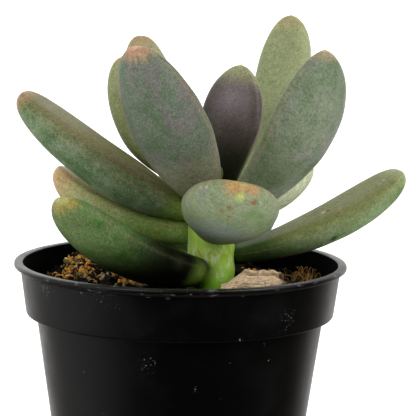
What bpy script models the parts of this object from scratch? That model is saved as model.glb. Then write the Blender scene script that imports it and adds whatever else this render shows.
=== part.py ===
"""A potted pachyveria: a short succulent stem with fleshy leaves, rooted in a round nursery pot.

Metres, +Z up. The origin is the middle of the pot's underside. The stem stands a little to the
right of the pot's axis (+X), and the side that faces -Y is the front.
"""

import math
import random
from dataclasses import dataclass

import bmesh
import bpy
import numpy as np
from mathutils import Matrix, Vector

MM = 0.001
WELD = 0.00001
SHARP_ANGLE = 40.0

# Clearance between two pieces that touch
SEAT_GAP = 0.3

# Pot, in mm: a thin moulded pot with a straight collar and a thin lip that flares out
POT_HEIGHT = 57.3
LIP_RADIUS = 32.7
LIP_TALL = 1.5
MOUTH_RADIUS = 31.0
COLLAR_TOP_RADIUS = 31.4
COLLAR_FOOT_RADIUS = 30.3
COLLAR_TALL = 10.2
BODY_TOP_RADIUS = 28.3
BASE_RADIUS = 21.8
WALL = 1.1
FLOOR_THICK = 1.6
POT_STEPS = 72
DRAIN_RADIUS = 2.6
DRAIN_CIRCLE = 14.5
DRAIN_COUNT = 6

# Soil, in mm
SOIL_LEVEL = 51.4
SOIL_RINGS = 22
SOIL_MOUND = 3.8
SOIL_MOUND_AT = (-19.0, 17.0)
SOIL_MOUND_REACH = 11.0
SOIL_EDGE_FLARE = 0.4
GRAIN_COUNT = 190
GRAIN_RADIUS = (1.1, 2.3)
GRAIN_TALL = (0.4, 1.1)
GRAIN_SPREAD = 28.0
LEVEL_ROUND_STEM = 7.5
LEVEL_ROUND_DRY_LEAF = 5.2
LEVEL_STRETCH = 1.6
LEVEL_FADE = 3.0

# Stem, in mm: heights are above the pot's underside
STEM_AT = (6.0, 0.0)
STEM_FOOT = 40.0
STEM_TOP = 73.2
STEM_RADIUS = 4.7
STEM_SWELLING = 0.12
STEM_FOOT_TALL = 8.0
STEM_FOOT_SHARE = 0.78
STEM_CROWN_TALL = 5.0
STEM_STEPS = 28
STEM_RINGS = 22

# Leaf meshes
LEAF_RINGS = 15
LEAF_STEPS = 16
UPPER_SHARE = 0.36
UPPER_SQUARENESS = 2.5
LOWER_SQUARENESS = 2.1
ROOT_ROUNDING = 2.2

# Dried leaf on the soil, in mm and shares: from its stalk end beside the stem to its torn end
DRY_STALK_END = (8.0, -8.6)
DRY_TORN_END = (20.6, -9.4)
DRY_WIDTH = 4.9
DRY_THICK = 0.8
DRY_LEAN = 62.0
DRY_CURL = 1.3
DRY_BED = (14.3, -8.4)
DRY_STALK_SHARE = 0.4
DRY_OPEN_BY = 0.42
DRY_NARROW_FROM = 0.75
DRY_NARROWING = 0.12
DRY_WRINKLE = 0.22
DRY_RINGS = 14
DRY_STEPS = 9


@dataclass(frozen=True)
class Leaf:
    """One fleshy leaf. Lengths in mm, angles in degrees, shares between 0 and 1.

    azimuth is the way that it points from the stem: 0 is the right, -90 the front.
    rise is its climb at the root and at the tip, and swing its sideways turn between them.
    neck is its width and thickness at the root as shares of the full ones.
    """

    name: str
    height: float
    azimuth: float
    swing: float
    rise: tuple
    length: float
    width: float
    thick: float
    roll: float = 0.0
    neck: tuple = (0.42, 0.46)
    widest: float = 0.62
    blunt: float = 0.5
    swell: float = 0.4
    root_azimuth: float | None = None
    root_radius: float = STEM_RADIUS
    sunk: float = 1.2
    rounding: float = ROOT_ROUNDING


LEAVES = (
    Leaf("leaf_left_long", 67.0, 190, -26, (27.5, 39.5), 41.5, 13.3, 9.4, -4,
         neck=(0.42, 0.36), widest=0.44, blunt=0.35),
    Leaf("leaf_front_left_tall", 70.5, 244.5, -11, (44.5, 55.5), 39.3, 16.2, 9.5, 3,
         neck=(0.45, 0.46), widest=0.55, swell=0.3),
    Leaf("leaf_left_tall", 72.0, 157, 4, (37, 77), 30.5, 12.5, 8.8, -10,
         neck=(0.42, 0.40), widest=0.55, swell=1.0),
    Leaf("leaf_back_left_tall", 69.7, 114, 6.5, (24, 63.5), 45.0, 11.2, 9.0, 3,
         neck=(0.36, 0.42), blunt=0.38),
    Leaf("leaf_centre", 71.8, 58, -2, (76, 72.5), 25.0, 12.5, 7.5, 10,
         widest=0.57, blunt=0.6, swell=0.6, root_azimuth=25, root_radius=3.0),
    Leaf("leaf_back_right_tall", 70.0, 61, -1.5, (21.5, 80), 47.5, 11.2, 8.0, -3,
         neck=(0.34, 0.36), widest=0.77),
    Leaf("leaf_front_right_tall", 68.0, -40, -1, (29.5, 79), 40.9, 15.6, 9.5, -4,
         widest=0.67, blunt=0.6, swell=0.6),
    Leaf("leaf_right_short", 65.4, 20, 0, (38, 26), 20.8, 11.0, 7.4,
         neck=(0.36, 0.46)),
    Leaf("leaf_front", 63.7, -81, -2.5, (19, 28), 33.0, 18.0, 8.1, -10,
         neck=(0.38, 0.50), widest=0.6, swell=0.55),
    Leaf("leaf_right_low", 59.0, 12, 8, (9, 38), 39.8, 12.0, 7.0, 5,
         widest=0.68, blunt=0.36, swell=0.25),
    Leaf("leaf_left_low", 56.4, 218, 1.5, (9, 42.5), 37.2, 14.2, 8.5, 7,
         neck=(0.47, 0.62), widest=0.58, blunt=0.35, swell=-0.35, root_azimuth=235),
    Leaf("leaf_left_middle", 63.7, 166, 0, (-2, 44), 31.5, 12.0, 7.6, 8,
         neck=(0.46, 0.66), widest=0.67, blunt=0.4, swell=0.6),
    Leaf("leaf_back_middle", 64.8, 103, 0, (9, 24), 31.0, 12.0, 8.0),
    Leaf("leaf_back_left_low", 58.0, 134, -4, (2, 30), 31.0, 12.0, 8.5),
    Leaf("leaf_back_right_low", 60.4, 68, 0, (3, 26), 27.0, 11.0, 7.5,
         neck=(0.36, 0.46)),
    Leaf("bud_leaf_left", 71.8, 185, 0, (64, 84), 6.5, 3.4, 2.4,
         root_radius=1.9, sunk=0.6, rounding=0.8),
    Leaf("bud_leaf_front", 71.8, -80, 0, (62, 84), 5.5, 3.2, 2.2,
         root_radius=1.9, sunk=0.6, rounding=0.8),
)


def clear_scene():
    """Remove every object that the file starts with."""
    for thing in list(bpy.data.objects):
        bpy.data.objects.remove(thing, do_unlink=True)


def linear(channel):
    """Turn one sRGB channel from 0 to 1 into linear light."""
    if channel <= 0.04045:
        return channel / 12.92
    return ((channel + 0.055) / 1.055) ** 2.4


def plain_material(name, colour, roughness, metallic=0.0):
    """Make a Principled material from an sRGB hex colour."""
    material = bpy.data.materials.new(name)
    material.use_nodes = True
    shader = material.node_tree.nodes["Principled BSDF"]
    channels = [linear(int(colour[i:i + 2], 16) / 255) for i in (1, 3, 5)]
    shader.inputs["Base Color"].default_value = (*channels, 1.0)
    shader.inputs["Roughness"].default_value = roughness
    shader.inputs["Metallic"].default_value = metallic
    material.diffuse_color = (*channels, 1.0)
    return material


def add_object(name, mesh, material=None):
    """Shade a mesh smooth and add it to the scene as an object."""
    mesh.shade_smooth()
    mesh.set_sharp_from_angle(angle=math.radians(SHARP_ANGLE))
    if material is not None:
        mesh.materials.append(material)
    thing = bpy.data.objects.new(name, mesh)
    bpy.context.scene.collection.objects.link(thing)
    return thing


def shape_object(name, shape, material=None):
    """Turn a bmesh, in metres, into an object."""
    mesh = bpy.data.meshes.new(name)
    shape.to_mesh(mesh)
    shape.free()
    return add_object(name, mesh, material)


def mesh_object(name, points, faces, material=None):
    """Turn points in mm and faces into an object."""
    mesh = bpy.data.meshes.new(name)
    mesh.from_pydata((np.asarray(points) * MM).tolist(), [], faces)
    return add_object(name, mesh, material)


def skin_rings(rings, low_pole, high_pole):
    """Close a stack of rings with a fan at each end.

    rings has the shape (ring, step, 3) and turns anticlockwise seen from high_pole's side.
    """
    count, steps = rings.shape[:2]
    points = np.concatenate([rings.reshape(-1, 3), [low_pole], [high_pole]])
    low, high = count * steps, count * steps + 1
    faces = []
    for ring in range(count - 1):
        for step in range(steps):
            beside = (step + 1) % steps
            here = ring * steps
            above = here + steps
            faces.append((here + step, here + beside, above + beside, above + step))
    top = (count - 1) * steps
    for step in range(steps):
        beside = (step + 1) % steps
        faces.append((low, beside, step))
        faces.append((high, top + step, top + beside))
    return points, faces


def turned(name, profile, steps, material):
    """Spin (radius, height) pairs in mm once round the Z axis.

    The profile runs from the axis below, up the outer side, to the axis above or inside.
    """
    shape = bmesh.new()
    corners = [shape.verts.new((radius * MM, 0.0, height * MM)) for radius, height in profile]
    line = [shape.edges.new(pair) for pair in zip(corners, corners[1:])]
    bmesh.ops.spin(
        shape,
        geom=corners + line,
        cent=(0.0, 0.0, 0.0),
        axis=(0.0, 0.0, 1.0),
        angle=2.0 * math.pi,
        steps=steps,
        use_merge=True,
    )
    bmesh.ops.remove_doubles(shape, verts=shape.verts[:], dist=WELD)
    bmesh.ops.recalc_face_normals(shape, faces=shape.faces[:])
    return shape_object(name, shape, material)


def cylinder(name, radius, low, high, place, segments):
    """Make an upright cylinder, in mm, to cut with."""
    shape = bmesh.new()
    middle = Vector((place[0], place[1], (low + high) / 2.0)) * MM
    bmesh.ops.create_cone(
        shape,
        cap_ends=True,
        segments=segments,
        radius1=radius * MM,
        radius2=radius * MM,
        depth=(high - low) * MM,
        matrix=Matrix.Translation(middle),
    )
    return cutter(shape_object(name, shape))


def cutter(thing):
    """Mark an object as a cutter, which is no piece of the plant."""
    thing.hide_render = True
    thing.display_type = "WIRE"
    return thing


def cut(thing, tool):
    """Take a cutter's shape out of an object."""
    modifier = thing.modifiers.new(f"cut {tool.name}", "BOOLEAN")
    modifier.operation = "DIFFERENCE"
    modifier.solver = "EXACT"
    modifier.object = tool


def build_pot(material):
    """Turn the pot's wall and floor, then drill the floor for drainage."""
    collar_foot = POT_HEIGHT - COLLAR_TALL
    lip_foot = POT_HEIGHT - LIP_TALL
    pot = turned("pot", [
        (0.0, 0.0),
        (BASE_RADIUS - 0.8, 0.0),
        (BASE_RADIUS, 0.9),
        (BODY_TOP_RADIUS, collar_foot),
        (COLLAR_FOOT_RADIUS - 0.4, collar_foot + 0.05),
        (COLLAR_FOOT_RADIUS, collar_foot + 0.5),
        (COLLAR_TOP_RADIUS, lip_foot),
        (LIP_RADIUS - 0.3, lip_foot + 0.6),
        (LIP_RADIUS, POT_HEIGHT - 0.5),
        (LIP_RADIUS - 0.15, POT_HEIGHT - 0.1),
        (LIP_RADIUS - 0.5, POT_HEIGHT),
        (MOUTH_RADIUS + 0.3, POT_HEIGHT - 0.1),
        (MOUTH_RADIUS, POT_HEIGHT - 0.5),
        (COLLAR_FOOT_RADIUS - WALL, collar_foot + WALL),
        (BODY_TOP_RADIUS - WALL, collar_foot - 0.4),
        (BASE_RADIUS - WALL, FLOOR_THICK),
        (0.0, FLOOR_THICK),
    ], POT_STEPS, material)
    for index in range(DRAIN_COUNT):
        turn = 2.0 * math.pi * (index + 0.5) / DRAIN_COUNT
        place = (DRAIN_CIRCLE * math.cos(turn), DRAIN_CIRCLE * math.sin(turn))
        cut(pot, cylinder(f"drain cutter {index}", DRAIN_RADIUS, -1.0, FLOOR_THICK + 1.0, place, 20))
    return pot


def ease(value):
    """Go smoothly from 0 to 1 over the same range."""
    held = np.clip(value, 0.0, 1.0)
    return held * held * (3.0 - 2.0 * held)


def soil_lumps():
    """Scatter the soil's lumps: place, radius and height of each."""
    draw = random.Random(11)
    lumps = []
    for _ in range(GRAIN_COUNT):
        radius = GRAIN_SPREAD * math.sqrt(draw.random())
        turn = draw.uniform(0.0, 2.0 * math.pi)
        lumps.append((
            radius * math.cos(turn),
            radius * math.sin(turn),
            draw.uniform(*GRAIN_RADIUS),
            draw.uniform(*GRAIN_TALL),
        ))
    return lumps


LUMPS = soil_lumps()


def soil_height(x, y):
    """Height of the soil at each x and y: a level bed, a mound on the left and low lumps.

    The lumps fade out round the stem and under the dried leaf, where the soil is flat.
    """
    away = math.hypot(x - SOIL_MOUND_AT[0], y - SOIL_MOUND_AT[1])
    height = SOIL_LEVEL + SOIL_MOUND * ease(1.0 - away / SOIL_MOUND_REACH)
    bump = 0.0
    for at_x, at_y, radius, tall in LUMPS:
        share = 1.0 - ((x - at_x) ** 2 + (y - at_y) ** 2) / radius ** 2
        if share > 0.0:
            bump = max(bump, tall * math.sqrt(share))
    from_stem = math.hypot(x - STEM_AT[0], y - STEM_AT[1])
    from_dry = math.hypot((x - DRY_BED[0]) / LEVEL_STRETCH, y - DRY_BED[1])
    open_soil = ease((from_stem - LEVEL_ROUND_STEM) / LEVEL_FADE)
    open_soil *= ease((from_dry - LEVEL_ROUND_DRY_LEAF) / LEVEL_FADE)
    return height + bump * open_soil


def build_soil(material):
    """Fill the pot: a turned plug with a rough top and a plain hole for the stem."""
    collar_foot = POT_HEIGHT - COLLAR_TALL
    edge = COLLAR_FOOT_RADIUS - WALL - SEAT_GAP + SOIL_EDGE_FLARE
    profile = [
        (0.0, FLOOR_THICK + SEAT_GAP),
        (BASE_RADIUS - WALL - SEAT_GAP, FLOOR_THICK + SEAT_GAP),
        (BODY_TOP_RADIUS - WALL - SEAT_GAP - 0.05, collar_foot - 0.4),
        (COLLAR_FOOT_RADIUS - WALL - SEAT_GAP - 0.05, collar_foot + WALL + SEAT_GAP),
        (edge, SOIL_LEVEL - 0.4),
    ]
    profile += [(edge * (1.0 - ring / SOIL_RINGS), SOIL_LEVEL) for ring in range(1, SOIL_RINGS + 1)]
    soil = turned("soil", profile, POT_STEPS, material)
    for corner in soil.data.vertices:
        if corner.co.z > (SOIL_LEVEL - 0.1) * MM:
            corner.co.z = soil_height(corner.co.x / MM, corner.co.y / MM) * MM
    radius = STEM_RADIUS + STEM_SWELLING + SEAT_GAP
    cut(soil, cylinder("stem hole cutter", radius, STEM_FOOT - SEAT_GAP, POT_HEIGHT + 4.0, STEM_AT, 40))
    return soil


def outline_share(along, neck, widest, leaf):
    """Share of a leaf's full width or thickness at each point along it, 0 at the root and 1 at the tip.

    It swells from the neck to full size at widest, falls to nothing at the tip with a bluntness,
    and its root end is rounded off like a cap.
    """
    climb = np.clip(along / widest, 0.0, 1.0)
    rise = leaf.swell * ease(climb) + (1.0 - leaf.swell) * (1.0 - (1.0 - climb) ** 2)
    beyond = np.clip((along - widest) / (1.0 - widest), 0.0, 1.0)
    fall = (1.0 - beyond ** 2) ** leaf.blunt
    share = np.where(along <= widest, neck + (1.0 - neck) * rise, fall)
    short = np.clip(1.0 - along * leaf.length / leaf.rounding, 0.0, 1.0)
    return share * np.sqrt(1.0 - short ** 2)


def leaf_spine(leaf, along):
    """Points and the three directions (forward, sideways, up) of a leaf's middle line."""
    fine = np.linspace(0.0, 1.0, 400)
    heading = np.radians(leaf.azimuth + leaf.swing * fine)
    climb = np.radians(leaf.rise[0] + (leaf.rise[1] - leaf.rise[0]) * fine)
    forward = np.stack([
        np.cos(heading) * np.cos(climb),
        np.sin(heading) * np.cos(climb),
        np.sin(climb),
    ], -1)
    steps = (forward[1:] + forward[:-1]) / 2.0 * leaf.length / (len(fine) - 1)
    route = np.concatenate([np.zeros((1, 3)), np.cumsum(steps, 0)])
    turn = math.radians(leaf.azimuth if leaf.root_azimuth is None else leaf.root_azimuth)
    out = leaf.root_radius - leaf.sunk
    root = np.array([STEM_AT[0] + out * math.cos(turn), STEM_AT[1] + out * math.sin(turn), leaf.height])
    place = np.stack([np.interp(along, fine, route[:, axis]) for axis in range(3)], -1) + root
    heading = np.interp(along, fine, heading)
    climb = np.interp(along, fine, climb)
    ahead = np.stack([np.cos(heading) * np.cos(climb), np.sin(heading) * np.cos(climb), np.sin(climb)], -1)
    across = np.stack([-np.sin(heading), np.cos(heading), 0.0 * heading], -1)
    upward = np.cross(ahead, across)
    roll = math.radians(leaf.roll)
    side = across * math.cos(roll) + upward * math.sin(roll)
    normal = upward * math.cos(roll) - across * math.sin(roll)
    return place, side, normal


def leaf_mesh(leaf, grow=0.0):
    """Points and faces of a leaf, grown outwards all round by some mm."""
    even = np.linspace(0.0, 1.0, LEAF_RINGS + 2)[1:-1]
    along = 0.15 * even + 0.85 * (0.5 - 0.5 * np.cos(math.pi * even))
    place, side, normal = leaf_spine(leaf, along)
    width = outline_share(along, leaf.neck[0], leaf.widest, leaf) * leaf.width / 2.0 + grow
    thick = outline_share(along, leaf.neck[1], leaf.widest - 0.06, leaf) * leaf.thick
    angles = np.linspace(0.0, 2.0 * math.pi, LEAF_STEPS, endpoint=False)
    flat, steep = np.cos(angles), np.sin(angles)
    power = 2.0 / np.where(steep > 0.0, UPPER_SQUARENESS, LOWER_SQUARENESS)
    flat = np.sign(flat) * np.abs(flat) ** power
    steep = np.sign(steep) * np.abs(steep) ** power
    share = np.where(steep > 0.0, UPPER_SHARE, 1.0 - UPPER_SHARE)
    reach = (thick[:, None] * share + grow) * steep
    rings = (
        place[:, None]
        + (width[:, None] * flat)[..., None] * side[:, None]
        + reach[..., None] * normal[:, None]
    )
    ends = leaf_spine(leaf, np.array([0.0, 1.0]))[0]
    return skin_rings(rings, ends[0], ends[1])


def build_leaf(leaf, material):
    """Make one leaf object."""
    points, faces = leaf_mesh(leaf)
    return mesh_object(leaf.name, points, faces, material)


def stem_radius(height):
    """Radius of the stem at each height: a narrow foot, an even shaft and a rounded top."""
    foot = ease((height - STEM_FOOT) / STEM_FOOT_TALL)
    crown = np.clip((height - STEM_TOP) / STEM_CROWN_TALL + 1.0, 0.0, 1.0)
    return STEM_RADIUS * (STEM_FOOT_SHARE + (1.0 - STEM_FOOT_SHARE) * foot) * np.sqrt(1.0 - crown ** 2.4)


def build_stem(material):
    """Make the stem, with faint swellings at its joints and a socket for each leaf."""
    even = np.linspace(0.0, 1.0, STEM_RINGS + 2)[1:-1]
    height = STEM_FOOT + (STEM_TOP - STEM_FOOT) * (0.4 * even + 0.6 * np.sin(0.5 * math.pi * even))
    angles = np.linspace(0.0, 2.0 * math.pi, STEM_STEPS, endpoint=False)
    swelling = STEM_SWELLING * np.sin(height * 1.1)[:, None] * np.cos(2.0 * angles + 0.4 * height[:, None])
    radius = stem_radius(height)[:, None] * (1.0 + swelling / STEM_RADIUS)
    rings = np.stack([
        STEM_AT[0] + radius * np.cos(angles),
        STEM_AT[1] + radius * np.sin(angles),
        height[:, None] + 0.0 * angles,
    ], -1)
    points, faces = skin_rings(rings, (*STEM_AT, STEM_FOOT), (*STEM_AT, STEM_TOP))
    stem = mesh_object("stem", points, faces, material)
    for leaf in LEAVES:
        points, faces = leaf_mesh(leaf, grow=SEAT_GAP)
        cut(stem, cutter(mesh_object(f"{leaf.name} socket", points, faces)))
    return stem


def build_dry_leaf(material):
    """Make the shrivelled leaf: a thin curled shell that leans back, its lower edge on the soil."""
    along = np.linspace(0.0, 1.0, DRY_RINGS)[:, None]
    across = np.linspace(-1.0, 1.0, DRY_STEPS)[None, :]
    opening = DRY_STALK_SHARE + (1.0 - DRY_STALK_SHARE) * ease(along / DRY_OPEN_BY)
    narrowing = DRY_NARROWING * ease((along - DRY_NARROW_FROM) / (1.0 - DRY_NARROW_FROM))
    width = DRY_WIDTH * opening * (1.0 - narrowing)
    up = width * (across + 1.0) / 2.0
    bulge = DRY_CURL * (1.0 - across ** 2) * (0.4 + 0.6 * np.sin(math.pi * along))
    wrinkle = DRY_WRINKLE * np.sin(9.0 * along + 2.5 * across) * np.sin(5.0 * across + 4.0 * along)
    lean = math.radians(DRY_LEAN)
    back = up * math.cos(lean) - (bulge + wrinkle) * math.sin(lean)
    rise = up * math.sin(lean) + (bulge + wrinkle) * math.cos(lean)
    x = DRY_STALK_END[0] + (DRY_TORN_END[0] - DRY_STALK_END[0]) * along + 0.0 * across
    y = DRY_STALK_END[1] + (DRY_TORN_END[1] - DRY_STALK_END[1]) * along + back
    z = SOIL_LEVEL + SEAT_GAP + DRY_THICK / 2.0 + DRY_WRINKLE + rise
    middle = np.stack([x, y, z], -1)
    facing = np.array([0.0, -math.sin(lean), math.cos(lean)]) * DRY_THICK / 2.0
    front = (middle + facing)[:, ::-1]
    rear = middle - facing
    loops = np.concatenate([front, rear], 1)
    count = loops.shape[1]
    points = loops.reshape(-1, 3)
    faces = []
    for ring in range(DRY_RINGS - 1):
        for step in range(count):
            beside = (step + 1) % count
            here = ring * count
            above = here + count
            faces.append((here + step, here + beside, above + beside, above + step))
    last = (DRY_RINGS - 1) * count
    for step in range(DRY_STEPS - 1):
        mirror = count - 1 - step
        faces.append((step + 1, step, mirror, mirror - 1))
        faces.append((last + step, last + step + 1, last + mirror - 1, last + mirror))
    return mesh_object("dry_leaf", points, faces, material)


def main():
    """Build every piece of the potted plant."""
    clear_scene()
    black_plastic = plain_material("black satin plastic", "#2E3032", 0.42)
    potting_mix = plain_material("potting mix", "#5A4130", 0.95)
    green_stem = plain_material("green stem", "#8FB04A", 0.45)
    waxy_leaf = plain_material("waxy grey-green leaf", "#8C9C80", 0.55)
    shrivelled_leaf = plain_material("shrivelled leaf", "#C7A68C", 0.85)
    build_pot(black_plastic)
    build_soil(potting_mix)
    build_stem(green_stem)
    for leaf in LEAVES:
        build_leaf(leaf, waxy_leaf)
    build_dry_leaf(shrivelled_leaf)


main()
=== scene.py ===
"""Looks of the potted pachyveria: waxy leaves, a green stem, gritty soil and a scuffed black pot."""

import itertools
import logging
import math
from dataclasses import dataclass, field
from enum import Enum

import bmesh
import bpy
import numpy as np
from mathutils import Matrix, Vector


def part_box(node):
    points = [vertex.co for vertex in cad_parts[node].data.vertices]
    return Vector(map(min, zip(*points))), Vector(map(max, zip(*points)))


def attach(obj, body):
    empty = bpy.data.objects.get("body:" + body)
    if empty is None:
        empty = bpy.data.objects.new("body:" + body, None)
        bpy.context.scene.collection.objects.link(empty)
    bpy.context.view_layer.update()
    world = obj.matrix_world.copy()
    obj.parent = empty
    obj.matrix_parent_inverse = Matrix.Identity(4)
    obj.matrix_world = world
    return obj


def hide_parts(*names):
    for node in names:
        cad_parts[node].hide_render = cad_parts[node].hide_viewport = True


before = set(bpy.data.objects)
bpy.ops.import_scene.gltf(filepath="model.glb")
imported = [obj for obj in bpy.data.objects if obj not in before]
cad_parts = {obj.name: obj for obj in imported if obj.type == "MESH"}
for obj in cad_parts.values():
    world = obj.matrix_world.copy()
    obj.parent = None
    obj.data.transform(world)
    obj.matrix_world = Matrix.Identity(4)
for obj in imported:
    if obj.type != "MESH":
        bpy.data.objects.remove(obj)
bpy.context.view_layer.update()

LOG = logging.getLogger("pachyveria")
MM = 0.001
SEAT_GAP = 0.3
POT_BOX = [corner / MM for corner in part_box("pot")]
POT_HEIGHT = POT_BOX[1].z
LIP_RADIUS = POT_BOX[1].x
STEM_BOX = [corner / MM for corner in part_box("stem")]


def linear(code: str) -> tuple[float, float, float, float]:
    """Turn an sRGB hex colour into linear light.

    Args:
        code: The colour as #RRGGBB.

    Returns:
        Red, green, blue and a full alpha.
    """
    channels = [int(code[start:start + 2], 16) / 255 for start in (1, 3, 5)]
    light = [c / 12.92 if c <= 0.04045 else ((c + 0.055) / 1.055) ** 2.4 for c in channels]
    return (*light, 1.0)


def per_mm(size: float) -> float:
    """Noise scale, in patterns per metre, of a pattern whose patches are size mm wide."""
    return 1.0 / (size * MM)


def set_sockets(tree: bpy.types.NodeTree, node: bpy.types.Node, sockets: dict[int | str, object]) -> None:
    """Set or link a node's inputs.

    Args:
        tree: The node tree that holds the node.
        node: The node.
        sockets: For each input, by name or number, a value to set or a socket to link.
    """
    for place, value in sockets.items():
        if isinstance(value, bpy.types.NodeSocket):
            tree.links.new(value, node.inputs[place])
        else:
            node.inputs[place].default_value = value


def add_node(
    tree: bpy.types.NodeTree,
    kind: str,
    sockets: dict[int | str, object] | None = None,
    stops: tuple[tuple[float, str], ...] = (),
    **settings: object,
) -> bpy.types.Node:
    """Add one node with its settings, socket values and links.

    Args:
        tree: The node tree that takes the node.
        kind: The node's Blender type.
        sockets: Its inputs, as set_sockets takes them.
        stops: A colour ramp's places and sRGB colours.
        **settings: The node's own properties.

    Returns:
        The new node.
    """
    made = tree.nodes.new(kind)
    for name, value in settings.items():
        setattr(made, name, value)
    set_sockets(tree, made, sockets or {})
    for number, (place, code) in enumerate(stops):
        ramp = made.color_ramp.elements
        stop = ramp[number] if number < 2 else ramp.new(place)
        stop.position = place
        stop.color = linear(code)
    return made


def new_material(
    name: str,
) -> tuple[bpy.types.Material, bpy.types.NodeTree, bpy.types.Node, bpy.types.NodeSocket]:
    """Start a material.

    Args:
        name: What the real surface is.

    Returns:
        The material, its tree, its Principled shader and the place on the piece.
    """
    material = bpy.data.materials.new(name)
    material.use_nodes = True
    tree = material.node_tree
    place = add_node(tree, "ShaderNodeTexCoord").outputs["Object"]
    return material, tree, tree.nodes["Principled BSDF"], place


def layer_colours(
    tree: bpy.types.NodeTree,
    base: str,
    layers: list[tuple[bpy.types.NodeSocket, float, float, float, str]],
) -> bpy.types.NodeSocket:
    """Lay colours one over another, each where a pattern's value lies past a limit.

    Args:
        tree: The material's tree.
        base: The sRGB colour below all.
        layers: Lowest first, a value, where the layer starts, where it is full, its greatest
            share and its sRGB colour.

    Returns:
        The socket with the finished colour.
    """
    colour = linear(base)
    for value, start, full, share, code in layers:
        mask = add_node(tree, "ShaderNodeMapRange", {
            "Value": value, "From Min": start, "From Max": full, "To Min": 0.0, "To Max": share,
        }, interpolation_type="SMOOTHSTEP").outputs[0]
        colour = add_node(
            tree, "ShaderNodeMix", {0: mask, 6: colour, 7: linear(code)}, data_type="RGBA",
        ).outputs[2]
    return colour


def ease(value: np.ndarray | float) -> np.ndarray:
    """Go smoothly from 0 to 1 while value does: three times its square less twice its cube."""
    held = np.clip(value, 0.0, 1.0)
    return held * held * (3.0 - 2.0 * held)


LATTICE_SIDE = 32
LATTICE = np.random.default_rng(5).random((LATTICE_SIDE,) * 3)


def value_noise(points: np.ndarray, cell: float, octaves: int = 1, shift: float = 0.0) -> np.ndarray:
    """Smooth random values between about -1 and 1.

    Each octave blends the random values at the eight corners of a lattice cell with eased
    weights; each further octave halves the cell and the height.

    Args:
        points: Places in mm, with x, y and z last.
        cell: Width of the first octave's cells in mm.
        octaves: How many octaves are added.
        shift: Moves the pattern, so that two uses differ.

    Returns:
        One value for each point.
    """
    total = np.zeros(points.shape[:-1])
    for octave in range(octaves):
        scaled = points / (cell / 2 ** octave) + shift + 7.3 * octave
        whole = np.floor(scaled).astype(int)
        part = ease(scaled - whole)
        value = np.zeros_like(total)
        for corner in itertools.product((0, 1), repeat=3):
            step = np.array(corner)
            weight = np.prod(np.where(step == 1, part, 1.0 - part), axis=-1)
            at = (whole + step) % LATTICE_SIDE
            value += weight * LATTICE[at[..., 0], at[..., 1], at[..., 2]]
        total += (2.0 * value - 1.0) / 2 ** octave
    return total


def ring_faces(count: int, steps: int) -> list[list[int]]:
    """Faces of a stack of rings, with a fan at each end.

    Args:
        count: Number of rings.
        steps: Points in each ring.

    Returns:
        The faces. The low pole is the point after the rings, and the high pole the next.
    """
    index = np.arange(count * steps).reshape(count, steps)
    beside = np.roll(index, -1, axis=1)
    faces = np.stack([index[:-1], beside[:-1], beside[1:], index[1:]], -1).reshape(-1, 4).tolist()
    low = np.full(steps, count * steps)
    faces += np.stack([low, beside[0], index[0]], -1).tolist()
    faces += np.stack([low + 1, index[-1], beside[-1]], -1).tolist()
    return faces


def close_rings(rings: np.ndarray, low: np.ndarray, high: np.ndarray) -> np.ndarray:
    """List the points of a stack of rings and its two poles."""
    return np.concatenate([rings.reshape(-1, 3), [low], [high]])


def turned_rings(profile: np.ndarray, steps: int) -> np.ndarray:
    """Turn rows of (radius, height) once round the Z axis into rings of points."""
    angles = np.linspace(0.0, 2.0 * math.pi, steps, endpoint=False)
    radius = profile[:, :1]
    height = profile[:, 1:] + 0.0 * angles
    return np.stack([radius * np.cos(angles), radius * np.sin(angles), height], -1)


def add_piece(
    name: str,
    points: np.ndarray,
    faces: list[list[int]],
    material: bpy.types.Material,
    replaced: tuple[str, ...] = (),
    marks: np.ndarray | None = None,
    smooth: bool = True,
) -> bpy.types.Object:
    """Add a mesh piece to the plant.

    Args:
        name: The piece's name.
        points: Its points in mm.
        faces: Its faces.
        material: Its finish.
        replaced: The CAD nodes that the piece stands for.
        marks: Four values for each point that its material reads as the attribute "marks".
        smooth: Shade across the edges of the faces.

    Returns:
        The new object.
    """
    mesh = bpy.data.meshes.new(name)
    mesh.from_pydata((points * MM).tolist(), [], faces)
    if smooth:
        mesh.shade_smooth()
    if marks is not None:
        layer = mesh.attributes.new("marks", "FLOAT_COLOR", "POINT")
        layer.data.foreach_set("color", marks.astype(np.float32).ravel())
    mesh.materials.append(material)
    piece = bpy.data.objects.new(name, mesh)
    bpy.context.scene.collection.objects.link(piece)
    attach(piece, "root")
    if replaced:
        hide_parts(*replaced)
    LOG.info("%s: %d faces", name, len(faces))
    return piece


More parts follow.
